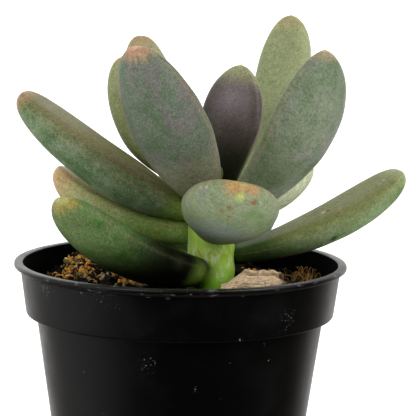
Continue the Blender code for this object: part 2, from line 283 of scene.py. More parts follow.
@dataclass(frozen=True)
class LeafForm:
    """Shape of one fleshy leaf. Lengths in mm, angles in degrees, shares between 0 and 1.

    azimuth is the way that it points from the stem: 0 is the right, -90 the front.
    rise is its climb at the root and at the tip, and swing its sideways turn between them.
    neck is its width and thickness at the root as shares of the full ones.
    """

    height: float
    azimuth: float
    swing: float
    rise: tuple[float, float]
    length: float
    width: float
    thick: float
    roll: float = 0.0
    neck: tuple[float, float] = (0.42, 0.46)
    widest: float = 0.62
    blunt: float = 0.5
    swell: float = 0.4
    root_azimuth: float | None = None
    root_radius: float = 4.7
    sunk: float = 1.2
    rounding: float = 2.2
    keel: float = 0.12
    hollow: float = 0.06
    nib: float = 0.9

    def spine(self, along: np.ndarray) -> tuple[np.ndarray, np.ndarray, np.ndarray]:
        """Middle line of the leaf.

        Heading and climb change evenly along the leaf, and the line adds up the steps that
        point that way.

        Args:
            along: Places from 0 at the root to 1 at the tip.

        Returns:
            The line's points, its sideways directions and its upward directions.
        """
        fine = np.linspace(0.0, 1.0, 400)
        heading = np.radians(self.azimuth + self.swing * fine)
        climb = np.radians(self.rise[0] + (self.rise[1] - self.rise[0]) * fine)
        forward = np.stack(
            [np.cos(heading) * np.cos(climb), np.sin(heading) * np.cos(climb), np.sin(climb)], -1
        )
        steps = (forward[1:] + forward[:-1]) / 2.0 * self.length / (len(fine) - 1)
        route = np.concatenate([np.zeros((1, 3)), np.cumsum(steps, 0)])
        turn = math.radians(self.azimuth if self.root_azimuth is None else self.root_azimuth)
        out = self.root_radius - self.sunk
        root = np.array([
            Stem.AXIS[0] + out * math.cos(turn), Stem.AXIS[1] + out * math.sin(turn), self.height
        ])
        place = np.stack([np.interp(along, fine, route[:, axis]) for axis in range(3)], -1) + root
        head = np.interp(along, fine, heading)
        lift = np.interp(along, fine, climb)
        ahead = np.stack([np.cos(head) * np.cos(lift), np.sin(head) * np.cos(lift), np.sin(lift)], -1)
        across = np.stack([-np.sin(head), np.cos(head), 0.0 * head], -1)
        upward = np.cross(ahead, across)
        roll = math.radians(self.roll)
        side = across * math.cos(roll) + upward * math.sin(roll)
        normal = upward * math.cos(roll) - across * math.sin(roll)
        return place, side, normal

    def share(self, along: np.ndarray, neck: float, widest: float) -> np.ndarray:
        """Share of the full width or thickness at each place along the leaf.

        It swells from the neck to 1 at widest, then falls as a power of one less the squared
        distance beyond it, and the root end is rounded like a cap.

        Args:
            along: Places from 0 at the root to 1 at the end of the flesh.
            neck: Share at the root.
            widest: Place of the full size.

        Returns:
            The shares.
        """
        climb = np.clip(along / widest, 0.0, 1.0)
        rise = self.swell * ease(climb) + (1.0 - self.swell) * (1.0 - (1.0 - climb) ** 2)
        beyond = np.clip((along - widest) / (1.0 - widest), 0.0, 1.0)
        fall = (1.0 - beyond ** 2) ** self.blunt
        share = np.where(along <= widest, neck + (1.0 - neck) * rise, fall)
        short = np.clip(1.0 - along * self.length / self.rounding, 0.0, 1.0)
        return share * np.sqrt(1.0 - short ** 2)

    def surface(self, rings: int, steps: int) -> tuple[np.ndarray, np.ndarray, np.ndarray]:
        """Skin of the leaf as rings round its middle line.

        A ring is a flattened oval: a cosine and a sine raised to a power below one. The lower
        face has a keel that grows towards the tip, the upper face a shallow hollow, the tip
        a small pointed nib, and low noise makes the flesh uneven.

        Args:
            rings: Number of rings.
            steps: Points in each ring.

        Returns:
            The rings, the two poles, and four marks for each point: place along, place
            across, how far up and how near the margin, each from 0 to 1.
        """
        even = np.linspace(0.0, 1.0, rings + 2)[1:-1]
        along = 0.12 * even + 0.88 * (0.5 - 0.5 * np.cos(math.pi * even))
        place, side, normal = self.spine(along)
        body = np.clip(along * (1.0 + 0.3 * self.nib / self.length), 0.0, 1.0)
        left = (1.0 - along) * self.length / self.nib
        nib = 0.45 * self.nib * np.clip(left, 0.0, 1.0) ** 0.7 * (left < 1.6)
        width = np.maximum(self.share(body, self.neck[0], self.widest) * self.width / 2.0, nib)
        thick = self.share(body, self.neck[1], self.widest - 0.06) * self.thick
        turn = np.linspace(0.0, 2.0 * math.pi, steps, endpoint=False)
        turn = turn - 0.22 * np.sin(2.0 * turn)
        flat, steep = np.cos(turn), np.sin(turn)
        power = 2.0 / np.where(steep > 0.0, 2.5, 2.1)
        flat = np.sign(flat) * np.abs(flat) ** power
        steep = np.sign(steep) * np.abs(steep) ** power
        middle = np.exp(-(flat / 0.22) ** 2)
        tipward = ease((along[:, None] - 0.45) / 0.4) * (1.0 - ease((along[:, None] - 0.93) / 0.07))
        part = np.where(steep > 0.0, 0.36 - self.hollow * (1.0 - flat ** 2), 0.64)
        reach = np.maximum(thick[:, None] * part, nib[:, None]) * steep
        reach -= np.where(steep < 0.0, self.keel * middle * tipward, 0.0)
        skin = (
            place[:, None]
            + (width[:, None] * flat)[..., None] * side[:, None]
            + reach[..., None] * normal[:, None]
        )
        uneven = 0.025 * value_noise(skin, 8.0, 2, self.azimuth)
        skin += (skin - place[:, None]) * uneven[..., None]
        marks = np.stack([
            along[:, None] + 0.0 * flat,
            0.5 + 0.5 * flat + 0.0 * along[:, None],
            0.5 + 0.5 * steep + 0.0 * along[:, None],
            np.exp(-(steep / 0.14) ** 2) + 0.0 * along[:, None],
        ], -1)
        return skin, self.spine(np.array([0.0, 1.0]))[0], marks


@dataclass(frozen=True)
class Spot:
    """A scar, a stain, a paler patch or a painted highlight on a leaf's skin: its place and radius in mm,
    colour, share and softness.
    """

    place: tuple[float, float, float]
    radius: float
    colour: str = "#7E5230"
    share: float = 0.85
    soft: float = 0.5


@dataclass(frozen=True)
class WaxyLeafSkin:
    """Succulent leaf skin: a matt, pale wax bloom over smooth green flesh, rubbed thin in patches.

    The bloom greys the green and spreads the highlight; the margin, the tip and the nib,
    where the wax is thin, show tan, orange or pink.
    """

    bloom: str = "#8C9A82"
    flesh: str = "#5E7A4A"
    blush: str = "#85827C"
    upper: str = "#8C8E66"
    margin: str = "#A58A62"
    tip: str = "#B48C62"
    nib: str = "#D9CDA4"
    root: str = "#86A048"
    patch: float = 0.5
    blush_share: float = 0.35
    upper_share: float = 0.5
    margin_share: float = 0.28
    tip_reach: float = 0.1
    root_reach: float = 0.2
    root_share: float = 0.9
    speckle: float = 0.85
    roughness: float = 0.5
    spots: tuple[Spot, ...] = ()

    def material(self, name: str, form: LeafForm) -> bpy.types.Material:
        """Make the skin's material.

        Args:
            name: The leaf's name.
            form: The leaf's shape, which sets the scale of the lengthwise streaks.

        Returns:
            The material.
        """
        material, tree, shader, place = new_material(f"waxy leaf skin {name}")
        marks = add_node(tree, "ShaderNodeAttribute", attribute_name="marks")
        split = add_node(tree, "ShaderNodeSeparateColor", {"Color": marks.outputs["Color"]})
        along, across, up = (split.outputs[channel] for channel in ("Red", "Green", "Blue"))
        edge = marks.outputs["Alpha"]
        # Streaks 9 mm long and 1.3 mm wide run with the leaf
        lengthwise = add_node(tree, "ShaderNodeMath", {0: along, 1: form.length / 9.0}, operation="MULTIPLY")
        sideways = add_node(tree, "ShaderNodeMath", {0: across, 1: form.width / 1.3}, operation="MULTIPLY")
        run = add_node(tree, "ShaderNodeCombineXYZ", {
            0: lengthwise.outputs[0], 1: sideways.outputs[0], 2: up,
        })
        # Wax patches are 4.5 mm wide and blush patches 6.5 mm, both with grainy edges;
        # mottling is 1 mm and grain 0.35 mm
        noises = [
            add_node(tree, "ShaderNodeTexNoise", {
                "Vector": vector, "Scale": scale, "Detail": detail, "Roughness": 0.7,
            }).outputs["Fac"]
            for vector, scale, detail in (
                (place, per_mm(4.5), 6.0),
                (place, per_mm(6.5), 6.0),
                (place, per_mm(1.0), 3.0),
                (run.outputs[0], 1.0, 3.0),
                (place, per_mm(0.35), 2.0),
            )
        ]
        wax, flush, mottle, streak, grain = noises
        blur = add_node(tree, "ShaderNodeMath", {0: streak, 1: 0.08, 2: -0.04}, operation="MULTIPLY_ADD")
        wavering = add_node(
            tree, "ShaderNodeMath", {0: along, 1: blur.outputs[0]}, operation="ADD",
        ).outputs[0]
        nib = form.nib / form.length
        layers = [
            (wax, 0.58 - 0.3 * self.patch, 0.82 - 0.3 * self.patch, 0.7, self.flesh),
            (flush, 0.60 - 0.3 * self.blush_share, 0.76 - 0.3 * self.blush_share, 0.75, self.blush),
            (up, 0.5, 0.8, self.upper_share, self.upper),
            (streak, 0.55, 0.8, 0.18, self.bloom),
            # Towards the root the colour turns to the root colour: on some leaves a paler green of the skin
            # itself, on others a dark painted shade.
            (wavering, self.root_reach, self.root_reach * 0.4, self.root_share, self.root),
            (edge, 0.45, 0.95, self.margin_share, self.margin),
            (wavering, 1.0 - self.tip_reach, 1.0 - self.tip_reach * 0.2, 0.75, self.tip),
            (along, 1.0 - 0.7 * nib, 1.0 - 0.3 * nib, 0.8, self.nib),
        ]
        for spot in self.spots:
            centre = tuple(value * MM for value in spot.place)
            radius = spot.radius * MM
            far = add_node(tree, "ShaderNodeVectorMath", {0: place, 1: centre}, operation="DISTANCE")
            ragged = add_node(tree, "ShaderNodeMath", {
                0: mottle, 1: radius, 2: far.outputs["Value"],
            }, operation="MULTIPLY_ADD").outputs[0]
            layers.append((
                ragged, (1.1 + spot.soft) * radius, (1.1 - spot.soft) * radius, spot.share, spot.colour,
            ))
        colour = layer_colours(tree, self.bloom, layers)
        # Grains of wax are pale, and the skin between them shows a deeper green
        for start, full, share, tint in (
            (0.52, 0.68, 0.32, (1.42, 1.42, 1.5)), (0.48, 0.32, 0.45, (0.6, 0.68, 0.5)),
        ):
            mask = add_node(tree, "ShaderNodeMapRange", {
                "Value": grain, "From Min": start, "From Max": full,
                "To Min": 0.0, "To Max": share * self.speckle,
            }, interpolation_type="SMOOTHSTEP").outputs[0]
            shade = add_node(tree, "ShaderNodeVectorMath", {0: colour, 1: tint}, operation="MULTIPLY")
            colour = add_node(tree, "ShaderNodeMix", {
                0: mask, 6: colour, 7: shade.outputs[0],
            }, data_type="RGBA").outputs[2]
        fleck = add_node(tree, "ShaderNodeMath", {0: mottle, 1: grain}, operation="ADD")
        tone = add_node(tree, "ShaderNodeMapRange", {
            "Value": fleck.outputs[0], "From Min": 0.7, "From Max": 1.3, "To Min": 0.76, "To Max": 1.24,
        })
        toned = add_node(tree, "ShaderNodeVectorMath", {
            0: colour, "Scale": tone.outputs[0],
        }, operation="SCALE")
        gloss = add_node(tree, "ShaderNodeMapRange", {
            "Value": wax, "From Min": 0.3, "From Max": 0.7,
            "To Min": self.roughness + 0.08, "To Max": self.roughness - 0.06,
        })
        # Pores and dried wax stand about 0.03 mm high
        bump = add_node(tree, "ShaderNodeBump", {
            "Height": fleck.outputs[0], "Strength": 0.25, "Distance": 0.06 * MM,
        })
        set_sockets(tree, shader, {
            "Base Color": toned.outputs[0], "Roughness": gloss.outputs[0], "Normal": bump.outputs[0],
            "IOR": 1.42, "Subsurface Weight": 0.08, "Subsurface Radius": (0.9, 1.0, 0.4),
            "Subsurface Scale": 0.8 * MM,
        })
        return material


@dataclass(frozen=True)
class FleshyLeaf:
    """One leaf: the CAD node that it stands for, its form and its skin."""

    name: str
    form: LeafForm
    skin: WaxyLeafSkin
    RINGS = 96
    STEPS = 72

    def build(self) -> None:
        """Make the leaf's mesh in the place of its CAD node."""
        rings, poles, marks = self.form.surface(self.RINGS, self.STEPS)
        points = close_rings(rings, poles[0], poles[1])
        ends = np.array([[0.0, 0.5, 0.5, 0.0], [1.0, 0.5, 0.5, 0.0]])
        add_piece(
            f"skin_of_{self.name}", points, ring_faces(self.RINGS, self.STEPS),
            self.skin.material(self.name, self.form), (self.name,),
            np.concatenate([marks.reshape(-1, 4), ends]),
        )


@dataclass(frozen=True)
class Stem:
    """Thick succulent stem with tan leaf scars in low swellings that carry a painted highlight."""

    AXIS = (6.0, 0.0)
    radius: float = 4.7
    crown: float = 5.0
    rings: int = 150
    steps: int = 110
    # Scars in mm and degrees: height, azimuth, half width, half height and slant
    scars: tuple[tuple[float, float, float, float, float], ...] = (
        (59.6, 241.0, 1.5, 0.3, -55.0),
        (59.8, 268.0, 1.3, 0.16, 50.0),
        (59.9, 286.0, 1.0, 0.14, -48.0),
        (54.6, 300.0, 1.6, 0.14, 8.0),
        (56.5, 60.0, 1.6, 0.5, 0.0),
        (61.0, 120.0, 1.6, 0.5, 10.0),
    )

    def surface(self) -> tuple[np.ndarray, np.ndarray]:
        """Skin of the stem as rings, from its buried foot to its rounded top.

        The radius is the even shaft's, drawn in at the foot and rounded at the top. Each scar
        is a slanting oval dent in a low swelling, and low noise makes the skin uneven.

        Returns:
            The rings, and four marks for each point: how much scar, place up the stem,
            how much swelling, and zero.
        """
        low, high = STEM_BOX[0].z, STEM_BOX[1].z
        even = np.linspace(0.0, 1.0, self.rings + 2)[1:-1]
        height = (low + (high - low) * (0.4 * even + 0.6 * np.sin(0.5 * math.pi * even)))[:, None]
        angle = np.linspace(0.0, 2.0 * math.pi, self.steps, endpoint=False)[None, :]
        crown = np.clip((height - high) / self.crown + 1.0, 0.0, 1.0)
        radius = self.radius * (0.78 + 0.22 * ease((height - low) / 8.0)) * np.sqrt(1.0 - crown ** 2.4)
        radius = radius + 0.12 * np.sin(height * 1.1) * np.cos(2.0 * angle + 0.4 * height)
        scarred = np.zeros_like(radius)
        swollen = np.zeros_like(radius)
        for at, azimuth, wide, tall, slant in self.scars:
            turn = (angle - math.radians(azimuth) + math.pi) % (2.0 * math.pi) - math.pi
            level, upright = turn * self.radius, height - at
            tilt = math.radians(slant)
            length = level * math.cos(tilt) + upright * math.sin(tilt)
            breadth = upright * math.cos(tilt) - level * math.sin(tilt)
            oval = (length / wide) ** 2 + (breadth / tall) ** 2
            scarred = np.maximum(scarred, np.exp(-oval ** 2))
            swollen = np.maximum(swollen, np.exp(-((length / wide) ** 2 + breadth ** 2)))
        radius = radius + 0.22 * swollen - 0.08 * scarred
        skin = np.stack([
            self.AXIS[0] + radius * np.cos(angle), self.AXIS[1] + radius * np.sin(angle), height + 0.0 * angle
        ], -1)
        uneven = 0.03 * value_noise(skin, 3.5, 2)
        middle = np.array([*self.AXIS, 0.0])
        skin[..., :2] += (skin - middle)[..., :2] * uneven[..., None]
        marks = np.stack([scarred, (height - low) / (high - low) + 0.0 * angle, swollen, 0.0 * scarred], -1)
        return skin, marks

    def material(self) -> bpy.types.Material:
        """Green stem skin: smooth and a little waxy, with pale streaks that are partly painted highlights,
        pale painted highlights on the swellings, and tan leaf scars.
        """
        material, tree, shader, place = new_material("green succulent stem skin")
        marks = add_node(tree, "ShaderNodeAttribute", attribute_name="marks")
        split = add_node(tree, "ShaderNodeSeparateColor", {"Color": marks.outputs["Color"]})
        # Streaks are 1.8 mm wide and twice as long, up the stem; patches are 3 mm
        stretched = add_node(tree, "ShaderNodeMapping", {"Vector": place, "Scale": (1.0, 1.0, 0.5)})
        noises = [
            add_node(tree, "ShaderNodeTexNoise", {
                "Vector": vector, "Scale": scale, "Detail": 3.0, "Roughness": 0.6,
            }).outputs["Fac"]
            for vector, scale in (
                (stretched.outputs[0], per_mm(1.8)), (place, per_mm(3.0)), (place, per_mm(0.6)),
            )
        ]
        # The shaded foot is a deeper green
        foot = (52.0 - STEM_BOX[0].z) / (STEM_BOX[1].z - STEM_BOX[0].z)
        colour = layer_colours(tree, "#B4D84E", [
            (noises[1], 0.4, 0.7, 0.8, "#BEE080"),
            # The whitish streaks are partly the skin's own pale streaks and partly painted highlights.
            (noises[0], 0.48, 0.7, 0.8, "#E6F2C8"),
            # Painted highlight: the swellings round the leaf scars are paler.
            (split.outputs["Blue"], 0.3, 1.0, 0.5, "#DCE89C"),
            (split.outputs["Red"], 0.3, 0.9, 0.55, "#B08A48"),
            (split.outputs["Green"], foot + 0.16, foot, 0.75, "#7CC030"),
        ])
        bump = add_node(tree, "ShaderNodeBump", {"Height": noises[2], "Strength": 0.3, "Distance": 0.1 * MM})
        set_sockets(tree, shader, {
            "Base Color": colour, "Roughness": 0.3, "Normal": bump.outputs[0], "IOR": 1.42,
            "Subsurface Weight": 0.2, "Subsurface Radius": (0.7, 1.0, 0.3), "Subsurface Scale": 1.5 * MM,
        })
        return material

    def build(self) -> None:
        """Make the stem in the place of its CAD node."""
        rings, marks = self.surface()
        poles = [(*self.AXIS, STEM_BOX[0].z), (*self.AXIS, STEM_BOX[1].z)]
        ends = np.array([[0.0, 0.0, 0.0, 0.0], [0.0, 1.0, 0.0, 0.0]])
        add_piece(
            "stem_skin", close_rings(rings, poles[0], poles[1]), ring_faces(self.rings, self.steps),
            self.material(), ("stem",), np.concatenate([marks.reshape(-1, 4), ends]),
        )


@dataclass(frozen=True)
class NurseryPot:
    """Thin moulded pot with a straight collar, a rolled lip and a drained floor. Sizes in mm."""

    mouth: float = 31.0
    collar_top: float = 31.4
    collar_foot: float = 30.3
    collar_tall: float = 10.2
    body_top: float = 28.3
    base: float = 21.8
    wall: float = 1.1
    floor: float = 1.6
    lip_tall: float = 1.5
    holes: int = 6
    holes_at: float = 14.5
    hole_radius: float = 2.6
    steps: int = 200
    # Patches of fine scratches: the place and the reach of each
    scratched: tuple[tuple[float, float, float, float], ...] = (
        (-25.1, -18.5, 54.6, 5.0),
        (-5.3, -26.7, 42.5, 3.0),
        (20.6, -23.0, 50.7, 3.5),
        (-14.0, -28.5, 56.2, 4.5),
    )

    def profile(self) -> np.ndarray:
        """Outline of the wall, with an arc at each corner.

        Returns:
            Rows of (radius, height), up the outer side and down the inner.
        """
        foot = POT_HEIGHT - self.collar_tall
        lip = POT_HEIGHT - self.lip_tall
        # Each corner is a radius, a height and the radius of its arc
        corners = np.array([
            (0.5, 0.0, 0.0),
            (self.base - 0.2, 0.0, 0.9),
            (self.body_top, foot, 0.25),
            (self.collar_foot - 0.05, foot, 0.45),
            (self.collar_top, lip, 0.3),
            (LIP_RADIUS - 0.05, POT_HEIGHT - 0.85, 0.25),
            (LIP_RADIUS - 0.02, POT_HEIGHT - 0.02, 0.4),
            (self.mouth, POT_HEIGHT - 0.02, 0.45),
            (self.collar_foot - self.wall, foot + self.wall, 0.8),
            (self.body_top - self.wall, foot - 0.4, 0.8),
            (self.base - self.wall, self.floor, 0.5),
            (0.5, self.floor, 0.0),
        ])
        rows = [corners[0, :2]]
        for before, corner, after in zip(corners, corners[1:], corners[2:]):
            rows.extend(self.arc(before[:2], corner[:2], after[:2], corner[2]))
        rows.append(corners[-1, :2])
        return self.refined(np.array(rows))

    @staticmethod
    def arc(before: np.ndarray, corner: np.ndarray, after: np.ndarray, radius: float) -> list[np.ndarray]:
        """Round one corner of an outline.

        Args:
            before: The corner before.
            corner: The corner to round.
            after: The corner after.
            radius: The arc's radius, cut down where a side is short.

        Returns:
            Nine points of the arc that meets both sides.
        """
        back = (before - corner) / np.linalg.norm(before - corner)
        ahead = (after - corner) / np.linalg.norm(after - corner)
        half = math.acos(np.clip(back @ ahead, -1.0, 1.0)) / 2.0
        room = 0.48 * min(np.linalg.norm(before - corner), np.linalg.norm(after - corner))
        leg = min(radius / math.tan(half), room)
        reach = leg * math.tan(half)
        bisector = (back + ahead) / np.linalg.norm(back + ahead)
        centre = corner + bisector * reach / math.sin(half)
        first, last = corner + back * leg - centre, corner + ahead * leg - centre
        sweep = math.atan2(first[0] * last[1] - first[1] * last[0], first @ last)
        turns = np.linspace(0.0, sweep, 9)
        return [
            centre + np.array([
                first[0] * math.cos(turn) - first[1] * math.sin(turn),
                first[0] * math.sin(turn) + first[1] * math.cos(turn),
            ])
            for turn in turns
        ]

    @staticmethod
    def refined(rows: np.ndarray) -> np.ndarray:
        """Add points to an outline so that none of its steps is longer than 2.5 mm."""
        length = np.concatenate([[0.0], np.cumsum(np.linalg.norm(np.diff(rows, axis=0), axis=1))])
        extra = np.arange(0.0, length[-1], 2.5)
        places = np.unique(np.round(np.concatenate([length, extra]), 4))
        return np.stack([np.interp(places, length, rows[:, axis]) for axis in (0, 1)], -1)

    def material(self) -> bpy.types.Material:
        """Moulded black polypropylene: satin, with settled dust, pale specks and scuffed edges."""
        material, tree, shader, place = new_material("moulded black polypropylene")
        height = add_node(tree, "ShaderNodeSeparateXYZ", {0: place}).outputs[2]
        # Scuffs are dashes 2.5 mm long and 0.9 mm tall, dust lies in 8 mm clouds, and
        # scratches are 0.35 mm wide
        flattened = add_node(tree, "ShaderNodeMapping", {"Vector": place, "Scale": (0.6, 0.6, 1.6)})
        scuff, dust, fine = (
            add_node(tree, "ShaderNodeTexNoise", {
                "Vector": vector, "Scale": scale, "Detail": detail, "Roughness": 0.65,
            }).outputs["Fac"]
            for vector, scale, detail in (
                (flattened.outputs[0], per_mm(1.5), 4.0),
                (place, per_mm(8.0), 4.0),
                (place, per_mm(0.35), 2.0),
            )
        )
        # Lone specks lie about 5.5 mm apart
        cells = add_node(tree, "ShaderNodeTexVoronoi", {
            "Vector": place, "Scale": per_mm(5.5), "Randomness": 1.0,
        })
        lip_band, collar_band = (
            add_node(tree, "ShaderNodeMapRange", {
                "Value": height, "From Min": low * MM, "From Max": high * MM,
            }, interpolation_type="SMOOTHSTEP").outputs[0]
            for low, high in ((POT_HEIGHT - 3.2, POT_HEIGHT - 0.8), (POT_HEIGHT - 13.0, POT_HEIGHT - 9.0))
        )
        worn = add_node(tree, "ShaderNodeMath", {0: lip_band, 1: 0.12, 2: scuff}, operation="MULTIPLY_ADD")
        dusty = add_node(tree, "ShaderNodeMath", {0: collar_band, 1: 0.05, 2: dust}, operation="MULTIPLY_ADD")
        speck = add_node(tree, "ShaderNodeMath", {0: cells.outputs["Distance"], 1: fine}, operation="ADD")
        rubbed = fine
        for *centre, reach in self.scratched:
            spot = tuple(value * MM for value in centre)
            far = add_node(tree, "ShaderNodeVectorMath", {0: place, 1: spot}, operation="DISTANCE")
            near = add_node(tree, "ShaderNodeMapRange", {
                "Value": far.outputs["Value"], "From Min": reach * MM, "From Max": 0.0, "To Max": 0.17,
            }).outputs[0]
            rubbed = add_node(tree, "ShaderNodeMath", {0: rubbed, 1: near}, operation="ADD").outputs[0]
        colour = layer_colours(tree, "#030405", [
            (dusty.outputs[0], 0.5, 0.85, 0.2, "#262626"),
            (rubbed, 0.71, 0.86, 0.45, "#B4B8C0"),
            (worn.outputs[0], 0.70, 0.82, 0.4, "#9A9CA0"),
            (speck.outputs[0], 0.46, 0.38, 0.6, "#A8A59E"),
        ])
        rough = add_node(tree, "ShaderNodeMapRange", {
            "Value": dust, "From Min": 0.3, "From Max": 0.7, "To Min": 0.3, "To Max": 0.42,
        })
        bump = add_node(tree, "ShaderNodeBump", {"Height": scuff, "Strength": 0.12, "Distance": 0.1 * MM})
        # The sheen is a film of dust, which warms and lightens what is seen edge on
        set_sockets(tree, shader, {
            "Base Color": colour, "Roughness": rough.outputs[0], "Normal": bump.outputs[0], "IOR": 1.49,
            "Specular IOR Level": 0.55, "Sheen Weight": 0.12, "Sheen Roughness": 0.45,
            "Sheen Tint": linear("#C8B8A4"),
        })
        return material

    def inner_material(self) -> bpy.types.Material:
        """Inner wall of the pot: the same black plastic, dulled by damp soil, with no shine."""
        material, tree, shader, place = new_material("black polypropylene dulled by soil")
        # Soil stains are 5 mm wide
        stain = add_node(tree, "ShaderNodeTexNoise", {
            "Vector": place, "Scale": per_mm(5.0), "Detail": 4.0,
        }).outputs["Fac"]
        ramp = add_node(tree, "ShaderNodeValToRGB", {"Fac": stain}, stops=(
            (0.4, "#030303"), (0.75, "#0C0A08"),
        ))
        set_sockets(tree, shader, {
            "Base Color": ramp.outputs[0], "Roughness": 0.9, "IOR": 1.49, "Specular IOR Level": 0.1,
        })
        return material

    def dull_inside(self, pot: bpy.types.Object, rows: np.ndarray) -> None:
        """Give the faces inside the mouth the inner wall's finish.

        Args:
            pot: The pot, before its floor is drilled.
            rows: Its outline, up the outer side and down the inner.
        """
        pot.data.materials.append(self.inner_material())
        mouth_row = int(np.flatnonzero(rows[:, 1] > POT_HEIGHT - 0.3)[-1])
        finish = np.zeros(len(pot.data.polygons), dtype=np.int32)
        finish[mouth_row * self.steps:(len(rows) - 1) * self.steps] = 1
        finish[len(rows) * self.steps:] = 1
        pot.data.polygons.foreach_set("material_index", finish)

    def build(self) -> None:
        """Make the pot in the place of its CAD node, with the same drilled floor."""
        rows = self.profile()
        rings = turned_rings(rows, self.steps)
        points = close_rings(rings, (0.0, 0.0, 0.0), (0.0, 0.0, self.floor))
        pot = add_piece("pot_wall", points, ring_faces(len(rings), self.steps), self.material(),
                        ("pot",))
        self.dull_inside(pot, rows)
        drills = bmesh.new()
        radius, out = self.hole_radius * MM, self.holes_at
        for number in range(self.holes):
            turn = 2.0 * math.pi * (number + 0.5) / self.holes
            spot = Vector((out * math.cos(turn), out * math.sin(turn), self.floor / 2.0)) * MM
            bmesh.ops.create_cone(
                drills, cap_ends=True, segments=48, radius1=radius, radius2=radius,
                depth=(self.floor + 2.0) * MM, matrix=Matrix.Translation(spot),
            )
        tool_mesh = bpy.data.meshes.new("drill")
        drills.to_mesh(tool_mesh)
        drills.free()
        tool = bpy.data.objects.new("drill", tool_mesh)
        bpy.context.scene.collection.objects.link(tool)
        cut = pot.modifiers.new("drainage holes", "BOOLEAN")
        cut.operation = "DIFFERENCE"
        cut.solver = "EXACT"
        cut.object = tool
        with bpy.context.temp_override(object=pot, active_object=pot):
            bpy.ops.object.modifier_apply(modifier=cut.name)
        bpy.data.objects.remove(tool, do_unlink=True)


@dataclass(frozen=True)
class Grit:
    """One kind of grit: colour, number and radii of its crumbs, and the patches it lies in.

    A patch is the x and y of its middle and its spread along x and y. Lengths in mm.
    """

    colour: str
    count: int
    radii: tuple[float, float]
    patches: tuple[tuple[float, float, float, float], ...]
    pile: float = 1.0


class GrainKind(Enum):
    """Kinds of grit in the potting mix."""

    BARK = Grit("#DEA64C", 440, (0.22, 0.58), (
        (-22.0, 7.0, 2.6, 2.2), (-19.5, 15.0, 1.2, 3.0), (-17.0, 6.0, 1.2, 3.0), (-18.5, 20.0, 3.0, 3.0),
        (-10.5, 2.5, 1.6, 1.2), (12.0, 20.0, 5.0, 3.0),
    ))
    CLAY = Grit("#D8BA78", 420, (0.2, 0.55), (
        (-23.5, 10.5, 1.2, 2.4), (-21.0, 13.0, 2.0, 3.0), (-17.5, 14.0, 1.6, 4.0), (-13.0, 8.0, 3.0, 3.0),
        (-8.0, 4.0, 2.0, 2.0), (25.0, 7.0, 1.2, 2.5), (0.0, 22.0, 8.0, 3.0),
    ))
    PUMICE = Grit("#B4A684", 300, (0.2, 0.6), (
        (-16.0, 8.0, 2.6, 3.6), (-12.5, 5.0, 2.4, 2.4), (-19.0, 9.0, 2.0, 3.0), (-8.0, 1.0, 2.0, 2.0),
        (-2.0, 18.0, 9.0, 5.0),
    ))
    HUMUS = Grit("#1E150C", 1900, (0.25, 0.8), (
        (0.0, 0.0, 14.0, 14.0), (-20.0, 10.0, 6.0, 8.0), (18.0, 8.0, 8.0, 8.0),
    ), 0.7)


